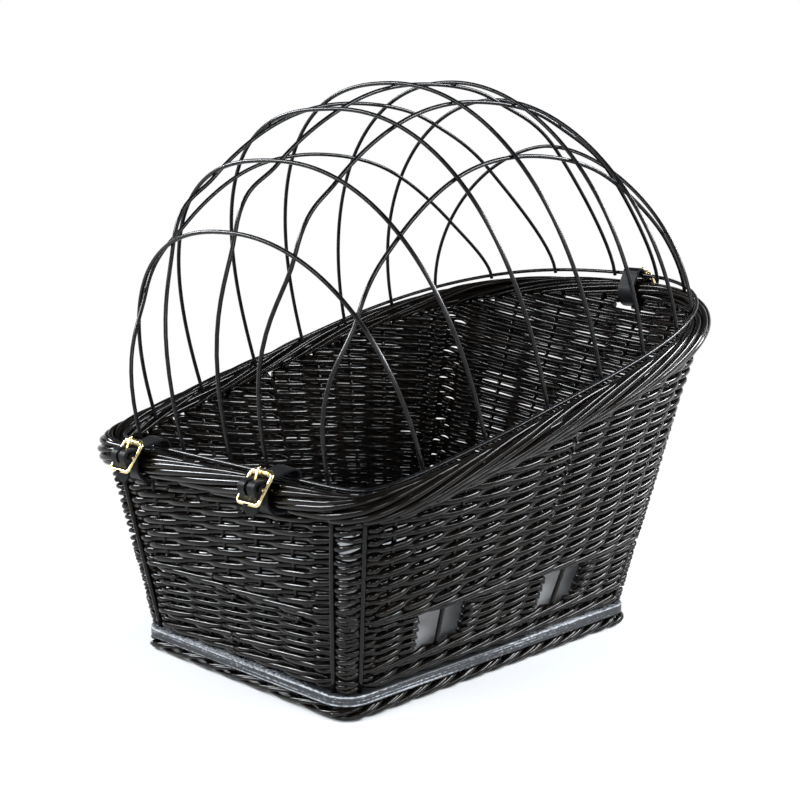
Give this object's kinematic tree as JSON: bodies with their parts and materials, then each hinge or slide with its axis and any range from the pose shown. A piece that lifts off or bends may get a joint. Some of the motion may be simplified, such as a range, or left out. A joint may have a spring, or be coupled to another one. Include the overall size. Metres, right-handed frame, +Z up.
{
  "type": "dog bicycle basket",
  "caption": "Willow pet basket for a bicycle's rear rack: flared woven wall with side slots, rolled sloping rim, cushion, and a wire dome that straps and buckles hold down.",
  "frame": {"origin": "on the ground, under the middle of the rim", "axes": "+X from the low buckled end to the high end, +Y to the left side, +Z up"},
  "size_m": [0.5538, 0.414, 0.491],
  "materials": {
    "willow": "black gloss lacquer",
    "board_paint": "dark grey stain",
    "black_steel": "gloss black coating",
    "leather": "matt black",
    "brass": "polished",
    "fabric": "pale grey cloth"
  },
  "bodies": {
    "basket": {"baseboard": "board_paint", "cushion": "fabric", "foot_border": "willow", "post_front_left_end": "willow", "post_front_left_side": "willow", "post_front_right_end": "willow", "post_front_right_side": "willow", "post_rear_left_end": "willow", "post_rear_left_side": "willow", "post_rear_right_end": "willow", "post_rear_right_side": "willow", "rim_border": "willow", "siding_corner_front_left": "willow", "siding_corner_front_right": "willow", "siding_corner_rear_left": "willow", "siding_corner_rear_right": "willow", "siding_front": "willow", "siding_left": "willow", "siding_lower": "willow", "siding_rear": "willow", "siding_right": "willow", "siding_slot_front": "willow", "siding_slot_left": "willow", "siding_slot_rear": "willow", "siding_slot_right": "willow", "slot_stake_left_front": "willow", "slot_stake_left_rear": "willow", "slot_stake_right_front": "willow", "slot_stake_right_rear": "willow", "strap_left": "leather", "strap_rear": "leather", "strap_right": "leather", "waling_lower": "willow", "waling_upper": "willow"},
    "dome": {"dome_hoop_1": "black_steel", "dome_hoop_2": "black_steel", "dome_hoop_3": "black_steel", "dome_hoop_4": "black_steel", "dome_hoop_5": "black_steel", "dome_hoop_6": "black_steel", "dome_hoop_7": "black_steel", "dome_rail_1": "black_steel", "dome_rail_2": "black_steel", "dome_rail_3": "black_steel", "dome_rail_4": "black_steel", "dome_rail_5": "black_steel", "dome_ring": "black_steel"},
    "buckle_left": {"buckle_left_frame": "brass"},
    "prong_left": {"buckle_left_prong": "brass"},
    "roller_left": {"buckle_left_roller": "brass"},
    "buckle_right": {"buckle_right_frame": "brass"},
    "prong_right": {"buckle_right_prong": "brass"},
    "roller_right": {"buckle_right_roller": "brass"},
    "buckle_rear": {"buckle_rear_frame": "brass"},
    "prong_rear": {"buckle_rear_prong": "brass"},
    "roller_rear": {"buckle_rear_roller": "brass"}
  },
  "joints": [
    {"name": "dome_hinge", "type": "hinge", "parent": "basket", "child": "dome", "pos_m": [0.24924, -0.03591, 0.31015], "axis": [0, 1, 0], "range_deg": [0, 80], "deforming": ["strap_left", "strap_right"]},
    {"name": "buckle_left_tilt", "type": "hinge", "parent": "basket", "child": "buckle_left", "pos_m": [-0.26807, 0.09707, 0.17951], "axis": [-0.0041, -1, 0], "range_deg": [0, 25], "deforming": ["strap_left"]},
    {"name": "prong_left_swing", "type": "hinge", "parent": "buckle_left", "child": "prong_left", "pos_m": [-0.26807, 0.09707, 0.17951], "axis": [-0.0041, -1, 0], "range_deg": [0, 100], "deforming": ["strap_left"]},
    {"name": "roller_left_spin", "type": "hinge", "parent": "buckle_left", "child": "roller_left", "pos_m": [-0.26061, 0.09704, 0.19016], "axis": [-0.0041, -1, 0], "continuous": true},
    {"name": "buckle_right_tilt", "type": "hinge", "parent": "basket", "child": "buckle_right", "pos_m": [-0.2681, -0.07, 0.1795], "axis": [0, -1, 0], "range_deg": [0, 25], "deforming": ["strap_right"]},
    {"name": "prong_right_swing", "type": "hinge", "parent": "buckle_right", "child": "prong_right", "pos_m": [-0.2681, -0.07, 0.1795], "axis": [0, -1, 0], "range_deg": [0, 100], "deforming": ["strap_right"]},
    {"name": "roller_right_spin", "type": "hinge", "parent": "buckle_right", "child": "roller_right", "pos_m": [-0.26064, -0.07, 0.19015], "axis": [0, -1, 0], "continuous": true},
    {"name": "buckle_rear_tilt", "type": "hinge", "parent": "basket", "child": "buckle_rear", "pos_m": [0.2668, -0.03752, 0.29992], "axis": [0.0918, 0.9958, 0], "range_deg": [0, 25], "deforming": ["strap_rear"]},
    {"name": "prong_rear_swing", "type": "hinge", "parent": "buckle_rear", "child": "prong_rear", "pos_m": [0.2668, -0.03752, 0.29992], "axis": [0.0918, 0.9958, 0], "range_deg": [0, 100], "deforming": ["strap_rear"]},
    {"name": "roller_rear_spin", "type": "hinge", "parent": "buckle_rear", "child": "roller_rear", "pos_m": [0.25938, -0.03684, 0.31057], "axis": [0.0918, 0.9958, 0], "continuous": true}
  ]
}
